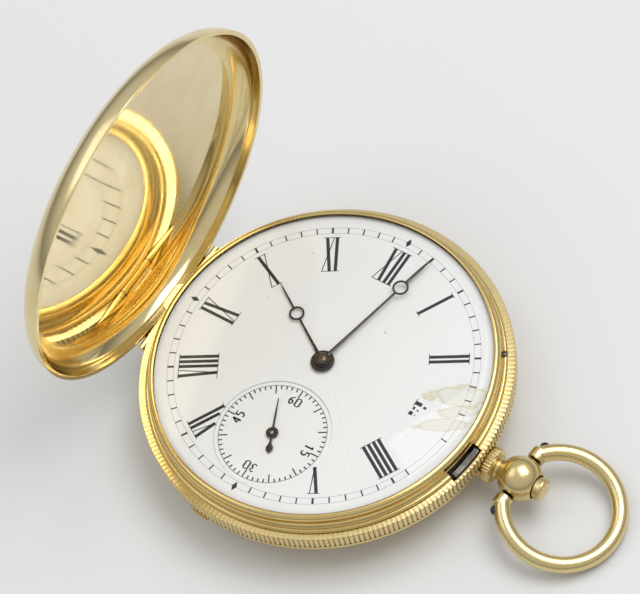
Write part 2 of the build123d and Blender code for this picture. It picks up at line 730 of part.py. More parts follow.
def barrel_bridge():
    body = disc(4.2, bridge_low, bridge_top, barrel_at)
    for end in barrel_feet:
        body += strip(barrel_at, end, 4.2, bridge_low, bridge_top)
        body += disc(foot_radius + 0.4, bridge_low, bridge_top, end) + foot(end)
    for end in barrel_feet:
        body -= disc(0.4, 2, 7, end)
    body -= disc(0.3, 2, 4, click_at)
    return body - disc(0.6 + running_gap, 2, 4, barrel_at)


def lever_cock():
    body = strip(lever_at, lever_foot, 1.7, *lever_cock_z)
    body += foot(lever_foot, lever_cock_z[1], 1.0)
    body -= disc(0.4, 4, 7, lever_foot)
    return body - disc(pivots["lever"] + 0.02, 4, 6, lever_at)


def balance_cock():
    low, high = balance_cock_z
    body = strip(balance_at, balance_foot, 2.6, low, high)
    body += disc(2.0, low, high, balance_at)
    body += disc(1.9, low, plate_low, balance_foot)
    body -= disc(0.4, 2, 7, balance_foot)
    return body - disc(jewel_radius, 2, 4, balance_at)


def regulator():
    low, high = 2.2, 2.42
    pointer = strip(balance_at, polar(5.2, 300, balance_at), 0.35, low, high)
    body = pointer + disc(1.5, low, high, balance_at)
    return body - disc(1.0, 2, 3, balance_at)


def jewels():
    """Ruby bearings: in the bridges, and on the same axes in the plate."""
    sets = []
    for name, at in (("third", third_at), ("fourth", fourth_at), ("escape", escape_at)):
        hole = pivots[name] + 0.02
        sets.append(ring(jewel_radius, hole, bridge_low + 0.15, bridge_top, at))
        plate_hole = 0.22 if name == "fourth" else hole
        sets.append(ring(jewel_radius, plate_hole, plate_low, plate_low + 0.6, at))
    hole = pivots["balance"] + 0.02
    sets.append(ring(jewel_radius, hole, 2.7, balance_cock_z[1], balance_at))
    for at, pivot in ((balance_at, "balance"), (lever_at, "lever")):
        sets.append(ring(jewel_radius, pivots[pivot] + 0.02, plate_low, plate_low + 0.6, at))
    return Compound(children=sets)


def endstone_cap():
    """The steel cap over the balance's upper jewel, which the regulator turns on."""
    return disc(1.0 - running_gap, 2.2, 2.45, balance_at)


screw_ends = [part["feet"][0] for part in bridges.values()] + barrel_feet


def bridge_screws():
    screws = [screw(at, bridge_low, 0.75, 0.35, 0.4, 7.0) for at in screw_ends]
    screws.append(screw(lever_foot, lever_cock_z[0], 0.62, 0.3, 0.4, 7.0))
    screws.append(screw(balance_foot, balance_cock_z[0], 0.75, 0.3, 0.4, 7.0))
    return Compound(children=screws)


def click_screw():
    return screw(click_at, ratchet_z[0] - 0.02, 0.42, 0.05, 0.3 - running_gap, 3.4)


def main_plate():
    body = disc(movement_radius, plate_low, 7.3) + disc(19.5, 7.3, plate_top)
    body += ring(19.5, 19.0, plate_top, dial_top - dial_thickness)
    body -= disc(0.45 + running_gap, 6, 8, centre_at)
    body -= disc(0.6 + running_gap, 6, plate_low + 0.6, barrel_at)
    for at in (third_at, escape_at, lever_at, balance_at, fourth_at):
        body -= disc(jewel_radius, plate_low, plate_low + 0.6, at)
    body -= disc(0.3, 6, 8, fourth_at)
    for end in screw_ends + [lever_foot, balance_foot]:
        body -= disc(0.4, 6, 7.0, end)
    for angle in (20, 150, 265):
        body -= disc(0.45, 7.35, 8, polar(17.8, angle))
    # The post that the minute wheel turns on.
    return body + disc(0.3, plate_top, minute_pinion_z[1], minute_at)


# ---- Write every piece --------------------------------------------------------------------
save("mid_case", mid_case())
save("bezel", bezel())
save("bezel_pin", bezel_pin())
save("crystal", crystal())
save("front_cover", front_cover())
for pin_name, pin in zip(("front_hinge_pin", "back_hinge_pin", "cuvette_hinge_pin"), hinge_pins()):
    save(pin_name, pin)
save("back_cover", back_cover())
save("cuvette", cuvette())
save("pendant", pendant())
save("push_piece", push_piece())
save("lock_spring", lock_spring())
save("fly_spring", fly_spring())
save("lock_spring_screw", spring_screw(lock_screw_angle))
save("fly_spring_screw", spring_screw(fly_screw_angle))
save("bow", bow())
save("bow_screws", bow_screws())
save("dial", dial())
save("seconds_dial", seconds_dial())
save("hour_hand", hour_hand())
save("minute_hand", minute_hand())
save("seconds_hand", seconds_hand())
save("cannon_pinion", cannon_pinion())
save("minute_wheel", minute_wheel())
save("hour_wheel", hour_wheel())
save("main_plate", main_plate())
save("barrel", barrel())
save("barrel_cover", barrel_cover())
save("barrel_arbor", barrel_arbor())
save("mainspring", mainspring())
save("ratchet_wheel", ratchet_wheel())
save("click", click())
save("click_screw", click_screw())
save("click_spring", click_spring())
save("centre_pinion", centre_pinion())
save("centre_wheel", centre_wheel())
save("third_wheel", train_wheel(third_teeth, third_module, third_wheel_z, third_at, fourth_at,
                                5, 1.2, 0.32))
save("third_pinion", train_pinion("third", third_leaves, centre_module, third_pinion_z,
                                  third_at, centre_at))
save("fourth_wheel", train_wheel(fourth_teeth, fourth_module, fourth_wheel_z, fourth_at,
                                 escape_at, 5, 1.1, 0.32))
save("fourth_pinion", fourth_pinion())
save("escape_wheel", escape_wheel())
save("escape_pinion", train_pinion("escape", escape_leaves, fourth_module, escape_pinion_z,
                                   escape_at, fourth_at))
save("lever", lever())
save("pallet_stones", pallet_stones())
save("balance_wheel", balance_wheel())
save("balance_staff", balance_staff())
save("roller", roller())
save("hairspring", hairspring())
save("barrel_bridge", barrel_bridge())
for bridge_name in bridges:
    save(bridge_name, bridge(bridge_name))
save("lever_cock", lever_cock())
save("balance_cock", balance_cock())
save("regulator", regulator())
save("endstone_cap", endstone_cap())
save("jewels", jewels())
save("bridge_screws", bridge_screws())
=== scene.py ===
import math

import bmesh
import bpy
import numpy as np
from mathutils import Matrix, Vector


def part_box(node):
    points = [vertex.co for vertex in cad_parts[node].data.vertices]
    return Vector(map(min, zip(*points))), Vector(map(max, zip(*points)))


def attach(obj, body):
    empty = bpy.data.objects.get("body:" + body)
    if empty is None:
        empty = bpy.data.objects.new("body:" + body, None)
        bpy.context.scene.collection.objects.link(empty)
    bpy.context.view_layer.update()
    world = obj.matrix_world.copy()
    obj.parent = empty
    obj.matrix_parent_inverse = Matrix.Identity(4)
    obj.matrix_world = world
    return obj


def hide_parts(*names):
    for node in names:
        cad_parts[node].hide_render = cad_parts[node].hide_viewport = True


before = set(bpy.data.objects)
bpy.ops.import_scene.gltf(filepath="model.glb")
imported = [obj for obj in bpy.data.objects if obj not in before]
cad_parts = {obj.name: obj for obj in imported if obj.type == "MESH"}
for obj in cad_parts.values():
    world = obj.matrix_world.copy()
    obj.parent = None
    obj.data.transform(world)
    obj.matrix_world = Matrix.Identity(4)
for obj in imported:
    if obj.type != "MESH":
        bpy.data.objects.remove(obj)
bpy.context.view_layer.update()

# A hunter pocket watch, open on a pale table. Outlines are in millimetres, in the frame of the
# CAD model: z = 0 is the back's flat, +X is 3 o'clock and +Y is 12 o'clock.
MM = 0.001

# ---- Sizes shared with the CAD model ------------------------------------------------------
case_radius = 22.9
reed_count = 240
rim_height = 7.45
band_bottom = 5.7
dial_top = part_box("dial")[1].z / MM
sub_centre = (0.0, -10.9)
sunk_radius = 7.1

front_hinge = (-21.95, 7.0)          # x and z of an axis along Y
back_hinge = (22.0, 5.3)             # y and z of an axis along X
cuvette_hinge = (19.9, 2.7)
hinge_half, middle_half = 6.5, 2.55
front_half = 8.2                     # half length of the front cover's row of knuckles
knuckle_radius = 0.45
front_open = math.radians(84.3)
catch_angle = -7.0

pendant_height = 4.3
ball_x, ball_radius, ball_face_x = 27.2, 2.75, 29.45
button_radius, button_face_x = 1.35, 30.6
bow_radius, bow_wire, bow_reach = 6.95, 1.0, 5.9
bow_droop, bow_yaw = math.radians(14.85), math.radians(-4.0)

# ---- Dial layout --------------------------------------------------------------------------
track_inner, track_outer = 18.2, 19.0
worn_minutes = (15, 17, 18)
numeral_bottom, numeral_top = 12.8, 17.6
print_height, print_sunk = 0.015, 0.004
seconds_top = 9.08                   # the height of the seconds dial's enamel
seconds_track = 6.55
hour_angle, minute_angle, seconds_angle = 302.0, 12.6, -24.8    # clockwise from 12 o'clock


# ---- Outline and mesh helpers -------------------------------------------------------------
def polar(radius, degrees, centre=(0.0, 0.0)):
    turn = math.radians(degrees)
    return (centre[0] + radius * math.cos(turn), centre[1] + radius * math.sin(turn))


def arc_points(a, b, c, count=14):
    """Points after a, along the circle through a, b and c, as far as c."""
    ax, ay, bx, by, cx, cy = *a, *b, *c
    d = 2 * (ax * (by - cy) + bx * (cy - ay) + cx * (ay - by))
    ux = ((ax**2 + ay**2) * (by - cy) + (bx**2 + by**2) * (cy - ay)
          + (cx**2 + cy**2) * (ay - by)) / d
    uy = ((ax**2 + ay**2) * (cx - bx) + (bx**2 + by**2) * (ax - cx)
          + (cx**2 + cy**2) * (bx - ax)) / d
    radius = math.hypot(ax - ux, ay - uy)
    first, through, last = (math.atan2(y - uy, x - ux) for x, y in (a, b, c))
    sweep = (last - first) % (2 * math.pi)
    if (through - first) % (2 * math.pi) > sweep:
        sweep -= 2 * math.pi
    turns = [first + sweep * k / count for k in range(1, count + 1)]
    return [(ux + radius * math.cos(t), uy + radius * math.sin(t)) for t in turns]


def outline(start, *steps):
    """Points from lines, (x, y), and arcs, ((through x, y), (end x, y))."""
    points = [start]
    for step in steps:
        if isinstance(step[0], tuple):
            points += arc_points(points[-1], *step)
        else:
            points.append(step)
    return points


def dome(top, radius, edge):
    """The middle point of an arc centred on the Z axis, from (0, top) to (radius, edge)."""
    drop = top - edge
    sphere = (radius**2 + drop**2) / (2 * drop)
    return (radius / 2, top - sphere + math.sqrt(sphere**2 - radius**2 / 4))


def soften(points, radius=0.05, sharp=25.0):
    """Rounds the corners of a closed outline that turn by more than sharp degrees."""
    result = []
    count = len(points)
    for index, here in enumerate(points):
        before, after = points[index - 1], points[(index + 1) % count]
        a = Vector(before) - Vector(here)
        b = Vector(after) - Vector(here)
        turn = 180 - math.degrees(a.angle(b, 0.0)) if a.length and b.length else 0
        if turn < sharp or here[0] < 1e-6:
            result.append(here)
            continue
        reach = min(radius, a.length * 0.45, b.length * 0.45)
        start, end = Vector(here) + a.normalized() * reach, Vector(here) + b.normalized() * reach
        for k in range(4):
            t = k / 3
            p = start * (1 - t) ** 2 + Vector(here) * 2 * t * (1 - t) + end * t**2
            result.append(tuple(p))
    return result


def finish_mesh(name, mesh, material, angle=32.0):
    mesh.validate()
    mesh.polygons.foreach_set("use_smooth", [True] * len(mesh.polygons))
    mesh.set_sharp_from_angle(angle=math.radians(angle))
    piece = bpy.data.objects.new(name, mesh)
    bpy.context.scene.collection.objects.link(piece)
    if material:
        mesh.materials.append(material)
    return piece


def mesh_piece(name, points, faces, material=None, angle=32.0):
    """A mesh object from points in millimetres."""
    mesh = bpy.data.meshes.new(name)
    mesh.from_pydata([tuple(c * MM for c in p) for p in points], [], faces)
    shape = bmesh.new()
    shape.from_mesh(mesh)
    bmesh.ops.recalc_face_normals(shape, faces=shape.faces)
    shape.to_mesh(mesh)
    shape.free()
    return finish_mesh(name, mesh, material, angle)


def lathe(name, profile, material=None, steps=384, wave=None, angle=32.0):
    """Turns a closed outline of (radius, height) about Z. wave gives the radius more or less."""
    profile = profile[::-1] if signed_area(profile) < 0 else profile
    rows = len(profile)
    turns = np.arange(steps) * 2 * math.pi / steps
    points, index_of = [], {}
    for row, (radius, height) in enumerate(profile):
        if radius < 1e-6:
            index_of[row] = [len(points)] * steps
            points.append((0.0, 0.0, height))
            continue
        index_of[row] = list(range(len(points), len(points) + steps))
        for turn in turns:
            r = radius + (wave(turn, radius, height) if wave else 0.0)
            points.append((r * math.cos(turn), r * math.sin(turn), height))
    faces = []
    for row in range(rows):
        low, high = index_of[row], index_of[(row + 1) % rows]
        for k in range(steps):
            n = (k + 1) % steps
            face = list(dict.fromkeys((low[k], low[n], high[n], high[k])))
            if len(face) > 2:
                faces.append(face)
    return mesh_piece(name, points, faces, material, angle)


def signed_area(points):
    return sum(a[0] * b[1] - b[0] * a[1] for a, b in zip(points, points[1:] + points[:1])) / 2


def prism(name, points, low, high, material=None, angle=32.0):
    """A flat outline of (x, y) points, between two heights."""
    points = points[::-1] if signed_area(points) < 0 else points
    count = len(points)
    corners = [(x, y, low) for x, y in points] + [(x, y, high) for x, y in points]
    faces = [list(range(count))[::-1], [count + k for k in range(count)]]
    faces += [[k, (k + 1) % count, count + (k + 1) % count, count + k] for k in range(count)]
    return mesh_piece(name, corners, faces, material, angle)


def block(name, x, y, z, material=None):
    corners = [(x[0], y[0]), (x[1], y[0]), (x[1], y[1]), (x[0], y[1])]
    return prism(name, corners, z[0], z[1], material)


def arc_outline(inner, outer, first, last, steps=24):
    turns = [first + (last - first) * k / steps for k in range(steps + 1)]
    return [polar(outer, t) for t in turns] + [polar(inner, t) for t in turns[::-1]]


def rod_profile(radius, low, high, edge=0.06):
    return soften([(0, low), (radius, low), (radius, high), (0, high)], edge)


def lay_along(piece, axis, place):
    """Turns a piece made about Z so that it lies along X or Y, and moves it into place."""
    turn = {"X": Matrix.Rotation(math.pi / 2, 4, "Y"), "Y": Matrix.Rotation(-math.pi / 2, 4, "X")}
    piece.data.transform(Matrix.Translation(Vector(place) * MM) @ turn[axis])
    return piece


def rod(name, radius, axis, span, place, material=None, edge=0.06):
    """A round rod along X or Y; place gives the other two coordinates with 0 along the axis."""
    return lay_along(lathe(name, rod_profile(radius, *span, edge), material, 48), axis, place)


def combine(piece, tool, how):
    """Cuts, joins or intersects with a tool, which is used up."""
    modifier = piece.modifiers.new("combine", "BOOLEAN")
    modifier.operation = how
    modifier.object = tool
    modifier.solver = "EXACT"
    bpy.context.view_layer.update()
    depsgraph = bpy.context.evaluated_depsgraph_get()
    mesh = bpy.data.meshes.new_from_object(piece.evaluated_get(depsgraph))
    piece.modifiers.clear()
    piece.data = mesh
    mesh.polygons.foreach_set("use_smooth", [True] * len(mesh.polygons))
    mesh.set_sharp_from_angle(angle=math.radians(32))
    bpy.data.objects.remove(tool)
    return piece


def cut(piece, tool):
    return combine(piece, tool, "DIFFERENCE")


def add(piece, tool):
    return combine(piece, tool, "UNION")


def merge(name, pieces):
    """Joins pieces that don't need a boolean into one mesh object."""
    points, faces, slots, materials = [], [], [], []
    for piece in pieces:
        start = len(points)
        matrix = piece.matrix_world
        points += [matrix @ v.co for v in piece.data.vertices]
        base = len(materials)
        materials += list(piece.data.materials)
        for polygon in piece.data.polygons:
            faces.append([start + v for v in polygon.vertices])
            slots.append(base + polygon.material_index)
    unique = list(dict.fromkeys(materials))
    mesh = bpy.data.meshes.new(name)
    mesh.from_pydata([tuple(p) for p in points], [], faces)
    for material in unique:
        mesh.materials.append(material)
    mesh.polygons.foreach_set("material_index", [unique.index(materials[s]) for s in slots])
    for piece in pieces:
        bpy.data.objects.remove(piece)
    return finish_mesh(name, mesh, None)


def put(piece, body, slot_name, *nodes):
    """Says what a finished piece rides on and the CAD nodes it stands for, which it hides.
    slot_name is not used.
    """
    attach(piece, body)
    if nodes:
        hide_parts(*nodes)
    return piece


# ---- Materials ----------------------------------------------------------------------------
class Nodes:
    """A material and a short way to write its nodes."""

    def __init__(self, name):
        self.material = bpy.data.materials.new(name)
        self.material.use_nodes = True
        self.tree = self.material.node_tree
        self.shader = self.tree.nodes["Principled BSDF"]

    def new(self, kind, **values):
        node = self.tree.nodes.new(kind)
        for key, value in values.items():
            if hasattr(node, key):
                setattr(node, key, value)
            else:
                node.inputs[key.replace("_", " ")].default_value = value
        return node

    def link(self, output, target):
        self.tree.links.new(output, target)

    def coordinates(self, scale=(1, 1, 1)):
        place = self.new("ShaderNodeTexCoord")
        mapping = self.new("ShaderNodeMapping")
        mapping.inputs["Scale"].default_value = scale
        self.link(place.outputs["Object"], mapping.inputs["Vector"])
        return mapping.outputs["Vector"]

    def parts(self, vector):
        split = self.new("ShaderNodeSeparateXYZ")
        self.link(vector, split.inputs["Vector"])
        return [split.outputs[k] for k in "XYZ"]

    def noise(self, scale, vector=None, detail=3.0, stretch=(1, 1, 1)):
        node = self.new("ShaderNodeTexNoise", Scale=scale, Detail=detail)
        self.link(vector or self.coordinates(stretch), node.inputs["Vector"])
        return node.outputs["Fac"]

    def ramp(self, value, low, high, start=0.0, end=1.0):
        """Maps a value from start..end to low..high."""
        node = self.new("ShaderNodeMapRange")
        for key, number in (("From Min", start), ("From Max", end), ("To Min", low),
                            ("To Max", high)):
            node.inputs[key].default_value = number
        self.link(value, node.inputs["Value"])
        return node.outputs["Result"]

    def math(self, operation, a, b=None):
        node = self.new("ShaderNodeMath", operation=operation)
        for socket, value in zip(node.inputs, (a, b)):
            if isinstance(value, (int, float)):
                socket.default_value = value
            elif value is not None:
                self.link(value, socket)
        return node.outputs["Value"]

    def length(self, x, y):
        squares = self.math("ADD", self.math("MULTIPLY", x, x), self.math("MULTIPLY", y, y))
        return self.math("SQRT", squares)

    def mix(self, share, a, b):
        node = self.new("ShaderNodeMix", data_type="RGBA")
        for name, value in (("Factor", share), ("A", a), ("B", b)):
            socket = next(s for s in node.inputs if s.name == name and s.enabled)
            if isinstance(value, (int, float)):
                socket.default_value = value
            elif isinstance(value, tuple):
                socket.default_value = (*value, 1)
            else:
                self.link(value, socket)
        return next(s for s in node.outputs if s.enabled)

    def bump(self, height, strength, distance):
        node = self.new("ShaderNodeBump", Strength=strength, Distance=distance)
        self.link(height, node.inputs["Height"])
        self.link(node.outputs["Normal"], self.shader.inputs["Normal"])


def turned_rings(nodes, scale, opened):
    """Fine rings about the watch's axis, or about the cover's if it stands opened by an angle."""
    closed = nodes.new("ShaderNodeMapping")
    hinge = Vector((front_hinge[0], 0, front_hinge[1])) * MM
    closed.inputs["Rotation"].default_value = (0, opened, 0)
    closed.inputs["Location"].default_value = hinge - Matrix.Rotation(opened, 3, "Y") @ hinge
    nodes.link(nodes.coordinates(), closed.inputs["Vector"])
    x, y, z = nodes.parts(closed.outputs["Vector"])
    joined = nodes.new("ShaderNodeCombineXYZ")
    nodes.link(nodes.length(x, y), joined.inputs["X"])
    nodes.link(z, joined.inputs["Y"])
    return nodes.noise(scale, joined.outputs["Vector"], detail=2.0)


def groove_shade_mask(nodes, count, radius):
    """Where shade is painted: 1 in the grooves between count ribs about the watch's axis, outside
    a radius.
    """
    x, y, _ = nodes.parts(nodes.coordinates())
    turn = nodes.math("ARCTAN2", y, x)
    rib = nodes.math("ABSOLUTE", nodes.math("SINE", nodes.math("MULTIPLY", turn, count / 2)))
    start, end = (radius - 0.02) * MM, (radius + 0.02) * MM
    return nodes.math("MULTIPLY", nodes.ramp(rib, 1.0, 0.0, 0.1, 0.6),
                      nodes.ramp(nodes.length(x, y), 0.0, 1.0, start, end))


def gold(name, color, roughness, rings=0.0, wear=0.05, dents=0.0, crevice_shade=0.75, opened=0.0,
         grooves=0.0):
    """Worn gold. rings and dents set how deep those marks are, and grooves how dark the painted
    shade between the band's ribs is. Painted shade by ambient occlusion also darkens crevices and
    gaps between parts.
    """
    nodes = Nodes(name)
    blotches = nodes.noise(260.0, detail=4.0)
    scratches = nodes.noise(900.0, detail=6.0, stretch=(1, 9, 3))
    deep = tuple(c * k for c, k in zip(color, (0.88, 0.80, 0.66)))
    # Painted shade: where ambient occlusion finds the surface hemmed in, in crevices and between
    # parts, the colour is darkened towards dark brown.
    open_sky = nodes.new("ShaderNodeAmbientOcclusion", samples=4, Distance=0.0006)
    painted_shade = nodes.ramp(open_sky.outputs["AO"], crevice_shade, 0.0, 0.25, 0.8)
    surface_tone = nodes.mix(nodes.ramp(blotches, 0.0, 0.55, 0.4, 0.75), color, deep)
    # Painted shade: the grooves between the band's reeds are darkened towards dark brown.
    if grooves:
        mask = groove_shade_mask(nodes, reed_count, case_radius - 0.15)
        groove_shade_share = nodes.math("MULTIPLY", mask, grooves)
        surface_tone = nodes.mix(groove_shade_share, surface_tone, (0.20, 0.12, 0.04))
    nodes.link(nodes.mix(painted_shade, surface_tone, (0.10, 0.06, 0.02)), nodes.shader.inputs["Base Color"])
    nodes.shader.inputs["Metallic"].default_value = 1.0
    spread = nodes.math("ADD", nodes.ramp(blotches, 0.0, wear, 0.35, 0.7),
                        nodes.ramp(scratches, roughness, roughness + wear, 0.45, 0.7))
    nodes.link(spread, nodes.shader.inputs["Roughness"])
    height = nodes.math("MULTIPLY", scratches, 0.04)
    if dents:
        height = nodes.math("ADD", height, nodes.math("MULTIPLY", nodes.noise(1100.0, detail=4.0),
                                                      dents))
    if rings:
        height = nodes.math("ADD", height, nodes.math("MULTIPLY",
                                                      turned_rings(nodes, 9000.0, opened), rings))
    nodes.bump(height, 0.25, 0.00003)
    return nodes.material


def steel(name, color, roughness, stain=(0.12, 0.09, 0.06), stained=0.35):
    """Polished steel with stained patches and fine lines across it."""
    nodes = Nodes(name)
    patches = nodes.noise(700.0, detail=5.0)
    lines = nodes.noise(2500.0, detail=3.0, stretch=(1, 6, 1))
    nodes.link(nodes.mix(nodes.ramp(patches, 0.0, stained, 0.45, 0.75), color, stain),
               nodes.shader.inputs["Base Color"])
    nodes.shader.inputs["Metallic"].default_value = 1.0
    nodes.link(nodes.ramp(lines, roughness * 0.7, roughness * 1.5, 0.3, 0.7),
               nodes.shader.inputs["Roughness"])
    nodes.bump(lines, 0.15, 0.00002)
    return nodes.material


def grained(name, color, roughness=0.34):
    """Gilt brass with the fine frosted grain of a watch plate."""
    nodes = Nodes(name)
    grain = nodes.noise(14000.0, detail=2.0)
    patches = nodes.noise(300.0, detail=4.0)
    darker = tuple(c * 0.8 for c in color)
    nodes.link(nodes.mix(nodes.ramp(patches, 0.0, 0.6, 0.4, 0.7), color, darker),
               nodes.shader.inputs["Base Color"])
    nodes.shader.inputs["Metallic"].default_value = 1.0
    nodes.link(nodes.ramp(grain, roughness * 0.8, roughness * 1.2),
               nodes.shader.inputs["Roughness"])
    nodes.bump(grain, 0.35, 0.00002)
    return nodes.material


def dial_distance(nodes, start, direction):
    """Distance from a point of the dial in a direction, whose length sets the unit."""
    offset = nodes.new("ShaderNodeVectorMath", operation="SUBTRACT")
    offset.inputs[1].default_value = (start[0] * MM, start[1] * MM, 0)
    nodes.link(nodes.coordinates(), offset.inputs[0])
    dot = nodes.new("ShaderNodeVectorMath", operation="DOT_PRODUCT")
    dot.inputs[1].default_value = direction
    nodes.link(offset.outputs["Vector"], dot.inputs[0])
    return dot.outputs["Value"]


def oval(nodes, centre, heading, long, wide):
    """Distance from a point of the dial, as a share of an oval's reach in each direction."""
    sides = ((heading, long), (heading + 90, wide))
    return nodes.length(*(dial_distance(nodes, centre, (*polar(1 / (reach * MM), turn), 0))
                          for turn, reach in sides))


def line_mask(nodes, start, end, width, waver):
    """1 on a thin wavering line between two points of the dial, 0 away from it."""
    line = Vector((end[0] - start[0], end[1] - start[1], 0))
    length = line.length
    heading = line.normalized()
    across = Vector((-heading.y, heading.x, 0))
    along_line = dial_distance(nodes, start, heading / MM)
    wander = nodes.ramp(nodes.noise(260.0, detail=4.0), -waver, waver)
    strayed = nodes.math("ADD", dial_distance(nodes, start, across / MM), wander)
    thin = nodes.ramp(nodes.math("ABSOLUTE", strayed), 1.0, 0.0, 0.0, width)
    from_middle = nodes.math("ABSOLUTE", nodes.math("SUBTRACT", along_line, length / 2))
    ends = nodes.ramp(from_middle, 1.0, 0.0, length * 0.4, length * 0.5)
    return nodes.math("MULTIPLY", thin, ends)


def enamel(name, marked):
    """White fired enamel. A marked one has the stain by 3 o'clock and the hairlines."""
    nodes = Nodes(name)
    white = (0.88, 0.885, 0.875)
    clouds = nodes.noise(120.0, detail=4.0)
    color = nodes.mix(nodes.ramp(clouds, 0.0, 0.35, 0.4, 0.8), white, (0.83, 0.835, 0.81))
    if marked:
        wobble = nodes.ramp(nodes.noise(420.0, detail=5.0), -1.1, 1.1)
        # Three tongues that run inward from the edge, each darkest along its border.
        for centre, long, wide in (((17.4, 4.2), 3.5, 1.3), ((17.6, 1.9), 3.0, 0.7),
                                   ((17.2, -0.3), 3.3, 0.8)):
            away = nodes.math("ADD", oval(nodes, centre, 28.0, long, wide), wobble)
            inside = nodes.ramp(away, 0.30, 0.0, 0.85, 1.1)
            border = nodes.ramp(nodes.math("ABSOLUTE", nodes.math("SUBTRACT", away, 0.92)),
                                0.75, 0.0, 0.0, 0.2)
            color = nodes.mix(nodes.math("MAXIMUM", inside, border), color, (0.62, 0.58, 0.36))
        hairlines = (((2.2, -1.5), (12.5, -11.8), 0.035), ((2.6, 3.0), (3.4, 13.5), 0.03))
        for start, end, width in hairlines:
            crack = nodes.math("MULTIPLY", line_mask(nodes, start, end, width, 0.12), 0.35)
            color = nodes.mix(crack, color, (0.45, 0.42, 0.36))
        specks = nodes.ramp(nodes.noise(1500.0, detail=1.0), 0.0, 0.5, 0.79, 0.81)
        color = nodes.mix(specks, color, (0.35, 0.32, 0.28))
    nodes.link(color, nodes.shader.inputs["Base Color"])
    nodes.shader.inputs["Roughness"].default_value = 0.16
    nodes.shader.inputs["Coat Weight"].default_value = 0.35
    nodes.shader.inputs["Coat Roughness"].default_value = 0.05
    nodes.bump(nodes.noise(90.0, detail=2.0), 0.08, 0.0002)
    return nodes.material


def ink(name, color, worn_color):
    """Fired ink, paler where it is worn."""
    nodes = Nodes(name)
    worn = nodes.noise(5200.0, detail=3.0)
    nodes.link(nodes.mix(nodes.ramp(worn, 0.0, 0.35, 0.45, 0.8), color, worn_color),
               nodes.shader.inputs["Base Color"])
    nodes.shader.inputs["Roughness"].default_value = 0.32
    return nodes.material


def clear_glass(name):
    """Clear glass: light goes straight through, and only the outer face adds its gloss."""
    nodes = Nodes(name)
    nodes.shader.inputs["Base Color"].default_value = (0.9, 0.9, 0.9, 1)
    nodes.shader.inputs["Metallic"].default_value = 1.0
    smears = nodes.noise(60.0, detail=3.0)
    nodes.link(nodes.ramp(smears, 0.01, 0.06, 0.4, 0.8), nodes.shader.inputs["Roughness"])
    through = nodes.new("ShaderNodeBsdfTransparent")
    edge = nodes.new("ShaderNodeFresnel", IOR=1.35)
    side = nodes.new("ShaderNodeNewGeometry")
    outer = nodes.math("SUBTRACT", 1.0, side.outputs["Backfacing"])
    mixed = nodes.new("ShaderNodeMixShader")
    nodes.link(nodes.math("MULTIPLY", edge.outputs["Fac"], outer), mixed.inputs["Fac"])
    nodes.link(through.outputs["BSDF"], mixed.inputs[1])
    nodes.link(nodes.shader.outputs["BSDF"], mixed.inputs[2])
    output = nodes.tree.nodes["Material Output"]
    nodes.link(mixed.outputs["Shader"], output.inputs["Surface"])
    return nodes.material


def ruby(name):
    nodes = Nodes(name)
    cloud = nodes.noise(3000.0, detail=2.0)
    nodes.link(nodes.mix(cloud, (0.55, 0.02, 0.08), (0.75, 0.10, 0.18)),
               nodes.shader.inputs["Base Color"])
    nodes.shader.inputs["Roughness"].default_value = 0.06
    nodes.shader.inputs["Transmission Weight"].default_value = 0.45
    nodes.shader.inputs["IOR"].default_value = 1.76
    return nodes.material


GOLD = gold("gold_polished", (0.74, 0.57, 0.24), roughness=0.18, crevice_shade=0.85)
GOLD_TURNED = gold("gold_turned", (0.80, 0.63, 0.28), roughness=0.17, rings=0.35)
GOLD_BAND = gold("gold_band", (0.80, 0.65, 0.32), roughness=0.19, rings=0.05, crevice_shade=0.35,
                 grooves=0.85)
GOLD_BRUSHED = gold("gold_brushed", (0.82, 0.70, 0.40), roughness=0.17, rings=0.3, wear=0.05,
                    opened=front_open)
GOLD_ROUGH = gold("gold_dented", (0.88, 0.72, 0.34), roughness=0.2, dents=2.5)
GOLD_FLANK = gold("gold_flank", (0.82, 0.68, 0.36), roughness=0.11, dents=0.3)
GOLD_PALE = gold("gold_pale", (0.76, 0.62, 0.31), roughness=0.2, wear=0.07)
GOLD_MIRROR = gold("gold_mirror", (0.84, 0.73, 0.47), roughness=0.03, wear=0.03, crevice_shade=0.3)
ENAMEL = enamel("enamel_dial", marked=True)
ENAMEL_SUB = enamel("enamel_seconds_dial", marked=False)
INK = ink("enamel_ink", (0.008, 0.009, 0.014), (0.10, 0.10, 0.11))
FAINT_INK = ink("faint_ink", (0.28, 0.28, 0.28), (0.55, 0.55, 0.54))
HAND_STEEL = steel("hand_steel", (0.055, 0.045, 0.04), 0.28)
BOSS = steel("centre_boss", (0.13, 0.09, 0.055), 0.26, stained=0.6)
DARK_STEEL = steel("dark_steel", (0.09, 0.08, 0.085), 0.3)
GREY_STEEL = steel("grey_steel", (0.15, 0.15, 0.155), 0.36, stain=(0.42, 0.42, 0.44),
                   stained=0.9)
MOVEMENT_STEEL = steel("movement_steel", (0.62, 0.63, 0.65), 0.18, stained=0.08)
BLUED_STEEL = steel("blued_screws", (0.05, 0.08, 0.30), 0.18, stained=0.1)
GILT = grained("gilt_plate", (0.86, 0.66, 0.32))
BRASS = grained("wheel_brass", (0.84, 0.66, 0.33), 0.22)
GLASS = clear_glass("watch_glass")
RUBY = ruby("ruby")


# ---- Case ---------------------------------------------------------------------------------
def reeds(turn, radius, height):
    """The reeded band's round ribs, with narrow grooves between them."""
    if radius < case_radius - 0.1:
        return 0.0
    return -0.15 * (1 - abs(math.sin(reed_count * turn / 2)))


def catch_room(name, inner, outer, half, low, high):
    corners = arc_outline(inner, outer, catch_angle - half, catch_angle + half)
    return prism(name, corners, low, high)


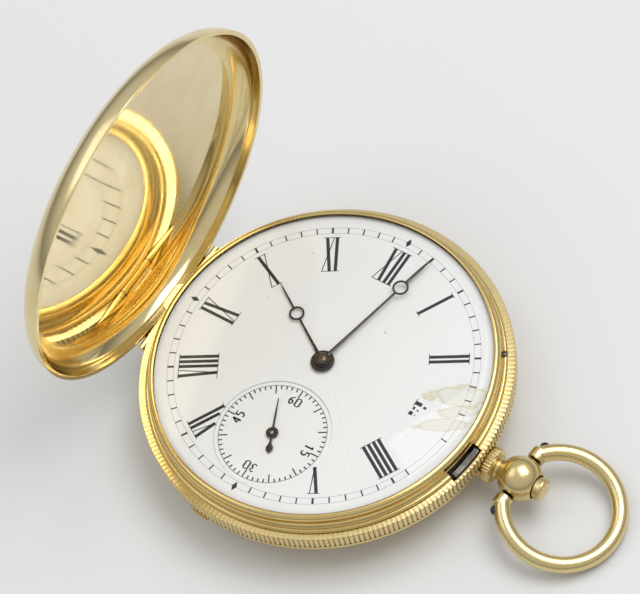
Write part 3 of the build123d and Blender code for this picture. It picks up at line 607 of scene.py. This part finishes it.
def make_mid_case():
    profile = outline(
        (19.1, 3.0), (20.3, 3.0), (20.9, 3.6), (21.5, 4.2), (22.2, 5.0), (22.2, band_bottom),
        (22.84, band_bottom), (case_radius, 5.76), (case_radius, 7.36), (22.82, rim_height),
        (21.35, rim_height), (21.35, 7.75), (21.0, 7.75),
        (21.0, 7.3), (18.9, 7.3), (18.9, 6.4), (20.9, 6.4), (20.9, 3.9), (20.3, 3.6), (19.1, 3.6),
    )
    body = lathe("mid_case_gold", soften(profile, 0.03), GOLD_BAND, reed_count * 10, reeds,
                 angle=50)
    body = add(body, rod("collar_boss", 2.1, "X", (20.95, 22.85), (0, 0, pendant_height), GOLD))
    x, z = front_hinge
    body = cut(body, block("room", (-24, x + 0.1), (-7.2, 7.2), (6.45, 7.6)))
    body = cut(body, rod("room", 0.5, "Y", (-8.4, 8.4), (x, 0, z)))
    y, z = back_hinge
    body = cut(body, block("room", (-6.6, 6.6), (21.45, 24), (4.6, 5.85)))
    body = cut(body, catch_room("room", 20.7, 22.42, 6.6, 5.35, 9))
    body = cut(body, rod("bore", 0.74, "X", (20, 24), (0, 0, pendant_height)))
    x, z = front_hinge
    front = [rod("k", knuckle_radius, "Y", (-middle_half, middle_half), (x, 0, z), GOLD),
             block("k", (-22.25, -21.65), (-middle_half, middle_half), (6.3, z - 0.2), GOLD)]
    y, z = back_hinge
    back = [rod("k", knuckle_radius, "X", (-middle_half, middle_half), (0, y, z), GOLD),
            block("k", (-middle_half, middle_half), (y - 0.3, y + 0.3), (z + 0.2, 6.0), GOLD)]
    y, z = cuvette_hinge
    lug = [rod("k", 0.28, "X", (-0.9, 0.9), (0, y, z), GOLD),
           block("k", (-0.9, 0.9), (y - 0.25, y + 0.25), (z, 3.3), GOLD)]
    return put(merge("mid_case_gold", [body] + front + back + lug), "case", "gold", "mid_case")


def make_bezel():
    profile = outline(
        (21.4, 7.5), (22.0, 7.5), (22.0, 7.65), ((21.88, 7.87), (21.55, 7.93)),
        ((21.2, 8.55), (21.36, 9.3)), ((21.15, 9.74), (20.75, 9.88)), (20.6, 9.84), (20.6, 9.7),
        (20.8, 9.7), (20.8, 9.36), (20.6, 9.36), (20.6, 9.25), (20.85, 9.25), (20.85, 7.8),
        (21.4, 7.8),
    )
    body = lathe("bezel_gold", soften(profile, 0.04), GOLD, 512)
    body = cut(body, catch_room("room", 21.3, 23, 6.6, 7.4, 8.35))
    return put(body, "case", "gold", "bezel")


def make_bezel_pin():
    pin = lathe("bezel_pin_steel", soften([(0, 7.7), (0.42, 7.7), (0.42, 8.05), (0, 8.2)], 0.1),
                DARK_STEEL, 32)
    pin.data.transform(Matrix.Translation(Vector((*polar(21.6, 33.3), 0)) * MM))
    return put(pin, "case", "blued_steel", "bezel_pin")


def make_crystal():
    profile = outline(
        (0, 10.95), (dome(10.95, 19.3, 10.15), (19.3, 10.15)), ((19.9, 9.85), (20.2, 9.4)),
        (20.78, 9.4), (20.78, 9.68), (20.5, 9.68), ((20.25, 10.1), (19.6, 10.38)),
        (dome(11.3, 19.6, 10.38), (0, 11.3)),
    )
    return put(lathe("crystal_glass", profile, GLASS, 256), "case", "crystal", "crystal")


def make_front_cover():
    profile = outline(
        (22.16, rim_height + 0.03), (22.75, rim_height + 0.03), ((22.55, 8.6), (21.9, 9.75)),
        ((20.4, 10.75), (18.0, 11.3)), (dome(12.1, 18.0, 11.3), (0, 12.1)), (0, 11.6),
        (dome(11.6, 19.5, 10.55), (19.5, 10.55)), ((21.3, 9.86), (22.12, 8.2)),
    )
    shell = lathe("front_cover_gold", soften(profile, 0.07), None, 512)
    x, z = front_hinge
    shell = cut(shell, block("room", (-24, -22.35), (-hinge_half, hinge_half), (7, 8.0)))
    shell = cut(shell, catch_room("room", 20, 22.42, 7, 7, 8.25))
    shell.data.materials.clear()
    for material in (GOLD_BRUSHED, GOLD_MIRROR, GOLD_FLANK):
        shell.data.materials.append(material)
    # The outside is brushed, the inside's disc is a mirror and its flank is plain polished.
    for face in shell.data.polygons:
        centre, normal = face.center / MM, face.normal
        radius = math.hypot(centre.x, centre.y)
        inward = normal.z < -0.2 or (normal.x * centre.x + normal.y * centre.y) < 0
        face.material_index = 0 if not inward else (1 if radius < 19.45 else 2)
    pieces = [shell]
    for side in (-1, 1):
        y = sorted((side * (middle_half + 0.05), side * front_half))
        pieces.append(rod("knuckle", knuckle_radius, "Y", y, (x, 0, z), GOLD_ROUGH))
    # The flat strip that the knuckles stand on is a chord across the rim.
    along_hinge = (-hinge_half, hinge_half)
    pieces.append(block("leaf", (-22.33, -22.06), along_hinge, (7.5, 8.3), GOLD_ROUGH))
    cover = merge("front_cover_gold", pieces)
    about = Vector((x, 0, z)) * MM
    turn = Matrix.Translation(about) @ Matrix.Rotation(-front_open, 4, "Y")
    cover.data.transform(turn @ Matrix.Translation(-about))
    return put(cover, "front_cover", "gold", "front_cover")


def make_back_cover():
    profile = outline(
        (0, 0), (12.5, 0), ((16.5, 0.32), (19.6, 1.35)), ((21.5, 3.05), (22.75, 5.0)),
        (22.85, 5.25), (22.85, 5.62), (22.4, 5.62), (22.4, 5.15), ((21.1, 3.3), (19.3, 1.75)),
        ((16.3, 0.72), (12.5, 0.42)), (0, 0.42),
    )
    shell = lathe("back_cover_gold", soften(profile, 0.05), GOLD_TURNED, 512)
    shell = cut(shell, rod("room", 2.35, "X", (15, 26), (0, 0, pendant_height)))
    y, z = back_hinge
    shell = cut(shell, block("room", (-hinge_half, hinge_half), (22.35, 24), (4.7, 6)))
    pieces = [shell]
    for side in (-1, 1):
        x = sorted((side * (middle_half + 0.05), side * hinge_half))
        pieces.append(rod("knuckle", knuckle_radius, "X", x, (0, y, z), GOLD))
        pieces.append(block("leaf", x, (21.75, 22.35), (4.3, z), GOLD))
    pieces.append(prism("lip", arc_outline(22.7, 23.1, -101.2, -95.4), 5.2, 5.42, GOLD))
    return put(merge("back_cover_gold", pieces), "back_cover", "gold", "back_cover")


# ---- Pendant, button and bow --------------------------------------------------------------
def make_pendant():
    """The reeded collar, the neck and the ball, turned about X."""
    ball = [(ball_radius * math.sin(t), ball_x + ball_radius * math.cos(t))
            for t in np.linspace(math.acos((ball_face_x - ball_x) / ball_radius),
                                 math.pi - math.asin(1.3 / ball_radius), 28)]
    profile = [(1.5, ball_face_x)] + ball + outline(
        (1.25, 24.6), ((1.22, 24.4), (1.4, 24.15)), ((1.9, 24.02), (2.05, 23.9)), (2.15, 23.8),
        (2.15, 22.92), (0.74, 22.92), (0.74, 28.2), (1.5, 28.2),
    )

    def ribs(turn, radius, height):
        return -0.09 * (0.5 - 0.5 * math.cos(34 * turn)) if radius > 2.05 and height < 24 else 0

    body = lathe("pendant_gold", soften(profile, 0.05, 30), GOLD_PALE, 34 * 12, ribs, angle=50)
    lay_along(body, "X", (0, 0, pendant_height))
    return put(body, "case", "gold", "pendant")


def make_button():
    profile = outline(
        (0, 28.9), (1.25, 28.9), (button_radius, 29.0), (button_radius, 30.15),
        ((1.28, 30.45), (0.95, button_face_x)), (0, button_face_x),
    )
    head = lathe("button_gold", soften(profile, 0.05, 30), GOLD_PALE, 128)
    stem = lathe("stem", rod_profile(0.62, 22.6, 29.0), GREY_STEEL, 48)
    for piece in (head, stem):
        lay_along(piece, "X", (0, 0, pendant_height))
    return put(merge("push_piece_gold", [head, stem]), "push_piece", "gold", "push_piece")


def make_bow():
    """A ring whose ends flatten into eyes on the ball's two sides."""
    gap = math.asin(3.9 / bow_radius)
    steps, around = 160, 40
    points, faces = [], []
    first, last = -math.pi + gap, math.pi - gap
    for k in range(steps + 1):
        t = first + (last - first) * k / steps
        centre = Vector((bow_radius * math.cos(t), bow_radius * math.sin(t), 0))
        radial = Vector((math.cos(t), math.sin(t), 0))
        near_end = max(0.0, 1 - min(t - first, last - t) / 0.35)
        wide = bow_wire * (1 + 0.08 * near_end)
        for j in range(around):
            a = j * 2 * math.pi / around
            points.append(centre + radial * bow_wire * math.cos(a)
                          + Vector((0, 0, 1)) * wide * math.sin(a))
    for k in range(steps):
        for j in range(around):
            n = (j + 1) % around
            faces.append((k * around + j, k * around + n, (k + 1) * around + n,
                          (k + 1) * around + j))
    faces += [tuple(range(around)), tuple(steps * around + j for j in range(around))]
    ring = mesh_piece("ring", points, faces, GOLD_PALE)
    ring.data.transform(Matrix.Translation(Vector((bow_reach, 0, 0)) * MM))
    pieces = [ring]
    for side in (-1, 1):
        y = sorted((side * 2.86, side * 4.35))
        pieces.append(rod("eye", 1.05, "Y", y, (0, 0, 0), GOLD_PALE, edge=0.25))
    bow = merge("bow_gold", pieces)
    bow.data.transform(Matrix.Translation(Vector((ball_x, 0, pendant_height)) * MM)
                       @ Matrix.Rotation(bow_yaw, 4, "Z") @ Matrix.Rotation(bow_droop, 4, "Y"))
    return put(bow, "bow", "gold", "bow")


# ---- Printed dial -------------------------------------------------------------------------
prints = []
seconds_prints = []


def print_shape(points, low, centre=(0, 0), into=prints):
    """A thin printed shape, laid on the enamel."""
    moved = [(x + centre[0], y + centre[1]) for x, y in points]
    into.append(prism("print", moved, low - print_sunk, low + print_height))


def along(clock_angle, radius, across=0.0):
    """A point at a clockwise angle from 12 o'clock, and a distance to its right as seen there."""
    t = math.radians(clock_angle)
    return (radius * math.sin(t) + across * math.cos(t),
            radius * math.cos(t) - across * math.sin(t))


def print_ring(radius, width, low, centre=(0, 0), into=prints):
    inner, outer = radius - width / 2, radius + width / 2
    bottom, top = low - print_sunk, low + print_height
    profile = [(inner, bottom), (outer, bottom), (outer, top), (inner, top)]
    ring = lathe("ring", profile, None, 256)
    ring.data.transform(Matrix.Translation(Vector((*centre, 0)) * MM))
    into.append(ring)


def stroke(clock_angle, start, end, width, low, centre=(0, 0), into=prints):
    """A straight printed stroke between two (across, radius) points of a numeral's own frame."""
    (a, r), (b, s) = start, end
    dx, dy = b - a, s - r
    length = math.hypot(dx, dy)
    nx, ny = -dy / length * width / 2, dx / length * width / 2
    corners = [(a + nx, r + ny), (b + nx, s + ny), (b - nx, s - ny), (a - nx, r - ny)]
    print_shape([along(clock_angle, radius, across) for across, radius in corners], low, centre,
                into)


def above_seconds(clock_angle, across, radius):
    """The first radius from the given one outward that clears the sunk seconds dial."""
    while math.dist(along(clock_angle, radius, across), sub_centre) < sunk_radius + 0.05:
        radius += 0.05
    return radius


def roman(clock_angle, text):
    """A Roman numeral with its top outward: thick strokes, thin diagonals and hairline serifs."""
    thick, thin, serif = 0.41, 0.11, 0.08
    widths = {"I": 0.66, "V": 1.3, "X": 1.3}
    half = sum(widths[c] for c in text) / 2 + 0.1
    top = numeral_top
    serif_start = -half
    x = 0.1 - half
    for letter in text:
        w = widths[letter]
        centre, left, right = x + w / 2, x + 0.2, x + w - 0.2
        low = above_seconds(clock_angle, centre, numeral_bottom)
        if letter == "I":
            stroke(clock_angle, (centre, low), (centre, top), thick, dial_top)
        elif letter == "V":
            stroke(clock_angle, (left + 0.1, top), (centre + 0.05, low), thick, dial_top)
            stroke(clock_angle, (right, top), (centre + 0.05, low), thin, dial_top)
        else:
            stroke(clock_angle, (centre - 0.25, top), (centre + 0.25, low), thick, dial_top)
            stroke(clock_angle, (right + 0.15, top), (left - 0.25, low), thin, dial_top)
        x += w
        if low > numeral_bottom:
            serif_start = x
    if serif_start < half - 0.2:
        stroke(clock_angle, (serif_start, numeral_bottom), (half, numeral_bottom), serif, dial_top)
    stroke(clock_angle, (-half, top), (half, top), serif, dial_top)


def make_prints():
    for minute in range(60):
        if minute in worn_minutes:
            continue
        angle = minute * 6
        width = 0.26 if minute % 5 == 0 else 0.16
        if minute % 15:
            stroke(angle, (0, track_inner), (0, track_outer), width, dial_top)
        else:
            corners = [(0, 18.3), (0.32, 18.95), (0, 19.6), (-0.32, 18.95)]
            print_shape([along(angle, r, a) for a, r in corners], dial_top)
    for radius in (track_inner, track_outer):
        print_ring(radius, 0.035, dial_top)
    texts = {12: "XII", 1: "I", 2: "II", 4: "IIII", 5: "V", 7: "VII", 8: "VIII", 9: "IX",
             10: "X", 11: "XI"}
    for hour, text in texts.items():
        roman(hour * 30, text)
    # What is left of the worn III.
    for across, start, end, width in ((-0.74, 12.8, 13.7, 0.5), (0.0, 12.9, 13.2, 0.4),
                                      (0.74, 12.8, 13.3, 0.5), (0.1, 13.5, 13.75, 0.2),
                                      (-0.6, 14.0, 14.4, 0.3), (0.8, 13.6, 13.7, 0.2)):
        stroke(90, (across, start), (across, end), width, dial_top)
    stroke(90, (-1.3, 12.8), (-0.2, 12.8), 0.08, dial_top)


def make_seconds_prints():
    for second in range(60):
        inner = 6.08 if second % 5 else 5.45
        stroke(second * 6, (0, inner), (0, seconds_track), 0.16, seconds_top, sub_centre,
               seconds_prints)
    print_ring(seconds_track, 0.09, seconds_top, sub_centre, seconds_prints)
    # Digits as short strokes on a grid one unit wide and two high.
    digits = {
        "0": [((0, 0.2), (0, 1.8)), ((1, 0.2), (1, 1.8)), ((0, 1.8), (0.5, 2)),
              ((0.5, 2), (1, 1.8)), ((0, 0.2), (0.5, 0)), ((0.5, 0), (1, 0.2))],
        "1": [((0.5, 0), (0.5, 2)), ((0.5, 2), (0.15, 1.6))],
        "3": [((0.05, 1.75), (0.5, 2)), ((0.5, 2), (1, 1.6)), ((1, 1.6), (0.5, 1.1)),
              ((0.5, 1.1), (1, 0.5)), ((1, 0.5), (0.5, 0)), ((0.5, 0), (0, 0.3))],
        "4": [((0.75, 0), (0.75, 2)), ((0.75, 2), (0, 0.6)), ((0, 0.6), (1.05, 0.6))],
        "5": [((0.95, 2), (0.15, 2)), ((0.15, 2), (0.1, 1.2)), ((0.1, 1.2), (0.7, 1.25)),
              ((0.7, 1.25), (1, 0.65)), ((1, 0.65), (0.5, 0)), ((0.5, 0), (0, 0.3))],
        "6": [((0.9, 1.9), (0.3, 1.5)), ((0.3, 1.5), (0, 0.7)), ((0, 0.7), (0.45, 0)),
              ((0.45, 0), (1, 0.5)), ((1, 0.5), (0.6, 1.1)), ((0.6, 1.1), (0.05, 0.8))],
    }
    for text, angle in (("60", 0), ("15", 90), ("30", 180), ("45", 270)):
        for place, digit in enumerate(text):
            for start, end in digits[digit]:
                left = -0.82 + place * 0.9
                a, b = ((left + x * 0.58, 4.35 + y * 0.56) for x, y in (start, end))
                upright = abs(a[1] - b[1]) > abs(a[0] - b[0])
                stroke(angle, a, b, 0.22 if upright else 0.14, seconds_top, sub_centre,
                       seconds_prints)


# ---- Hands --------------------------------------------------------------------------------
def flat_ring(name, outer, inner, low, high, centre):
    profile = soften([(inner, low), (outer, low), (outer, high), (inner, high)], 0.04)
    ring = lathe(name, profile, HAND_STEEL, 64)
    ring.data.transform(Matrix.Translation(Vector((*centre, 0)) * MM))
    return ring


def hand_arm(name, angle, stations, low, high):
    """A tapered arm that is thicker along its middle line: stations of (radius, half width)."""
    points, faces = [], []
    for radius, half in stations:
        for across, height in ((-half, low), (half, low), (half, (low + high) / 2), (0, high),
                               (-half, (low + high) / 2)):
            x, y = along(angle, radius, across)
            points.append((x, y, height))
    for k in range(len(stations) - 1):
        for j in range(5):
            n = (j + 1) % 5
            faces.append((5 * k + j, 5 * k + n, 5 * k + 5 + n, 5 * k + 5 + j))
    last = 5 * (len(stations) - 1)
    faces += [(4, 3, 2, 1, 0), tuple(last + j for j in range(5))]
    return mesh_piece(name, points, [f[::-1] for f in faces], HAND_STEEL, angle=20)


def make_hour_hand():
    angle, low, high = hour_angle, 9.5, 9.66
    pieces = [
        flat_ring("collet", 1.45, 0.9, low, high, (0, 0)),
        flat_ring("step", 1.2, 0.9, low, high + 0.1, (0, 0)),
        flat_ring("eye", 0.95, 0.72, low, high, along(angle, 7.65)),
        hand_arm("arm", angle, [(1.3, 0.2), (3.5, 0.13), (6.75, 0.11)], low, high),
        hand_arm("tip", angle, [(8.52, 0.11), (10.0, 0.11), (11.5, 0.09), (12.5, 0.04)],
                 low, high),
    ]
    return put(merge("hour_hand_steel", pieces), "hour", "blued_steel", "hour_hand")


def make_minute_hand():
    angle, low, high = minute_angle, 9.82, 9.98
    pieces = [
        flat_ring("collet", 0.95, 0.5, low, high, (0, 0)),
        flat_ring("eye", 1.0, 0.77, low, high, along(angle, 13.2)),
        hand_arm("arm", angle, [(0.85, 0.23), (6.0, 0.17), (12.25, 0.14)], low, high),
        hand_arm("tip", angle, [(14.15, 0.2), (16.2, 0.18), (17.6, 0.12), (18.7, 0.05)],
                 low, high),
    ]
    return put(merge("minute_hand_steel", pieces), "centre", "blued_steel", "minute_hand")


def make_seconds_hand():
    low, high = 9.28, 9.40
    pieces = [flat_ring("hub", 0.75, 0.2, low, high, sub_centre)]
    arm = hand_arm("arm", seconds_angle, [(0.6, 0.13), (2.5, 0.10), (4.7, 0.05)], low, high)
    back = hand_arm("tail", seconds_angle + 180, [(0.6, 0.14), (1.4, 0.16), (1.9, 0.42),
                                                  (2.3, 0.42), (2.65, 0.1)], low, high)
    for piece in (arm, back):
        piece.data.transform(Matrix.Translation(Vector((*sub_centre, 0)) * MM))
        pieces.append(piece)
    return put(merge("seconds_hand_steel", pieces), "fourth", "blued_steel", "seconds_hand")


# ---- Dial ---------------------------------------------------------------------------------
def make_dial():
    disc = outline((1.2, 8.6), (20.75, 8.6), (20.75, dial_top), (1.2, dial_top))
    body = lathe("enamel_disc", disc, ENAMEL, 256)
    edge = soften([(0, 8), (sunk_radius, 8), (sunk_radius, dial_top - 0.05),
                   (sunk_radius + 0.05, dial_top), (sunk_radius + 0.05, 9.6), (0, 9.6)], 0.03)
    tool = lathe("sunk", edge, ENAMEL, 256)
    tool.data.transform(Matrix.Translation(Vector((*sub_centre, 0)) * MM))
    return put(cut(body, tool), "case", "enamel", "dial")


def make_seconds_dial():
    edge = outline((0.5, 8.9), (7.08, 8.9), (7.08, 9.0), ((7.03, 9.06), (6.95, seconds_top)),
                   (0.5, seconds_top))
    body = lathe("enamel_seconds_disc", edge, ENAMEL_SUB, 256)
    body.data.transform(Matrix.Translation(Vector((*sub_centre, 0)) * MM))
    return put(body, "case", "enamel", "seconds_dial")


# ---- Every piece --------------------------------------------------------------------------
make_mid_case()
make_bezel()
make_bezel_pin()
make_crystal()
make_front_cover()
make_back_cover()
make_pendant()
make_button()
make_bow()
make_dial()
make_seconds_dial()
make_prints()
make_seconds_prints()
for group, group_name in ((prints, "dial_print"), (seconds_prints, "seconds_print")):
    for piece in group:
        piece.data.materials.clear()
        piece.data.materials.append(FAINT_INK if piece.name.startswith("ring") else INK)
    put(merge(group_name, group), "case", "enamel")
make_hour_hand()
make_minute_hand()
make_seconds_hand()

finishes = {
    BOSS: ("cannon_pinion",),
    DARK_STEEL: ("bow_screws", "front_hinge_pin", "back_hinge_pin",
                 "cuvette_hinge_pin"),
    GREY_STEEL: ("lock_spring", "fly_spring"),
    GOLD_TURNED: ("cuvette",),
    GILT: ("main_plate", "barrel_bridge", "centre_bridge", "third_bridge", "fourth_bridge",
           "escape_cock", "lever_cock", "balance_cock"),
    BRASS: ("centre_wheel", "third_wheel", "fourth_wheel", "escape_wheel", "barrel",
            "barrel_cover", "hour_wheel", "minute_wheel", "balance_wheel"),
    BLUED_STEEL: ("bridge_screws", "click_screw", "lock_spring_screw", "fly_spring_screw",
                  "hairspring"),
    RUBY: ("jewels", "pallet_stones", "endstone_cap"),
}
material_of = {node: material for material, group in finishes.items() for node in group}
for node_name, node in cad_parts.items():
    if not node.hide_render:
        node.data.materials.clear()
        node.data.materials.append(material_of.get(node_name, MOVEMENT_STEEL))

# ---- Floor, light and camera --------------------------------------------------------------
floor_nodes = Nodes("pale_floor")
floor_nodes.link(floor_nodes.mix(floor_nodes.noise(8.0), (0.74, 0.745, 0.75), (0.78, 0.785, 0.79)),
                 floor_nodes.shader.inputs["Base Color"])
floor_nodes.shader.inputs["Roughness"].default_value = 0.7
floor = prism("floor", [(-1500, -1500), (1500, -1500), (1500, 1500), (-1500, 1500)], -10, 0,
              floor_nodes.material)

# The direction from the watch to the camera, and the picture's right and up.
azimuth, elevation, roll = (math.radians(a) for a in (48.967, 57.145, -17.867))
toward = Vector((math.sin(azimuth) * math.cos(elevation), -math.cos(azimuth) * math.cos(elevation),
                 math.sin(elevation)))
level = Vector((math.cos(azimuth), math.sin(azimuth), 0))
upright = toward.cross(level)
right = math.cos(roll) * level + math.sin(roll) * upright
up = -math.sin(roll) * level + math.cos(roll) * upright
view_unit = 18.65 * MM
aim = Vector((0, 0, dial_top * MM))

camera = bpy.data.objects.new("camera", bpy.data.cameras.new("camera"))
camera.data.sensor_width = 36.0
camera.data.lens = 185.6
camera.data.clip_start = 0.01
camera.data.dof.use_dof = False
rotation = Matrix((right, up, toward)).transposed().to_4x4()
place = aim + view_unit * (21.09 * toward - 0.0193 * right + 0.4197 * up)
camera.matrix_world = Matrix.Translation(place) @ rotation
bpy.context.scene.collection.objects.link(camera)
bpy.context.scene.camera = camera


def soft_light(name, direction, distance, size, power, color=(1, 1, 1)):
    light = bpy.data.objects.new(name, bpy.data.lights.new(name, "AREA"))
    light.data.shape = "RECTANGLE"
    light.data.size, light.data.size_y = size
    light.data.energy = power
    light.data.color = color
    direction = Vector(direction).normalized()
    light.location = aim + direction * distance
    light.rotation_euler = direction.to_track_quat("Z", "Y").to_euler()
    bpy.context.scene.collection.objects.link(light)
    return light


bpy.context.scene.view_settings.view_transform = "Standard"
overhead = up * 0.35 + right * 0.55 + Vector((0, 0, 1.3))
soft_light("key", overhead, 0.55, (0.42, 0.34), 1.5)
soft_light("fill", -right * 0.9 + up * 0.3 + Vector((0, 0, 1.0)), 0.7, (0.5, 0.35), 0.45)

world = bpy.data.worlds.new("studio")
bpy.context.scene.world = world
world.use_nodes = True
tree = world.node_tree
coordinate = tree.nodes.new("ShaderNodeTexCoord")
separate = tree.nodes.new("ShaderNodeSeparateXYZ")
tree.links.new(coordinate.outputs["Generated"], separate.inputs["Vector"])
ramp = tree.nodes.new("ShaderNodeValToRGB")
tree.links.new(separate.outputs["Z"], ramp.inputs["Fac"])
stops = ramp.color_ramp.elements
stops[0].position, stops[0].color = 0.0, (0.30, 0.28, 0.26, 1)
stops[1].position, stops[1].color = 1.0, (0.95, 0.95, 0.96, 1)
for position, shade in ((0.12, 0.42), (0.45, 0.85)):
    stop = stops.new(position)
    stop.color = (shade, shade, shade, 1)
tree.links.new(ramp.outputs["Color"], tree.nodes["Background"].inputs["Color"])
tree.nodes["Background"].inputs["Strength"].default_value = 0.69
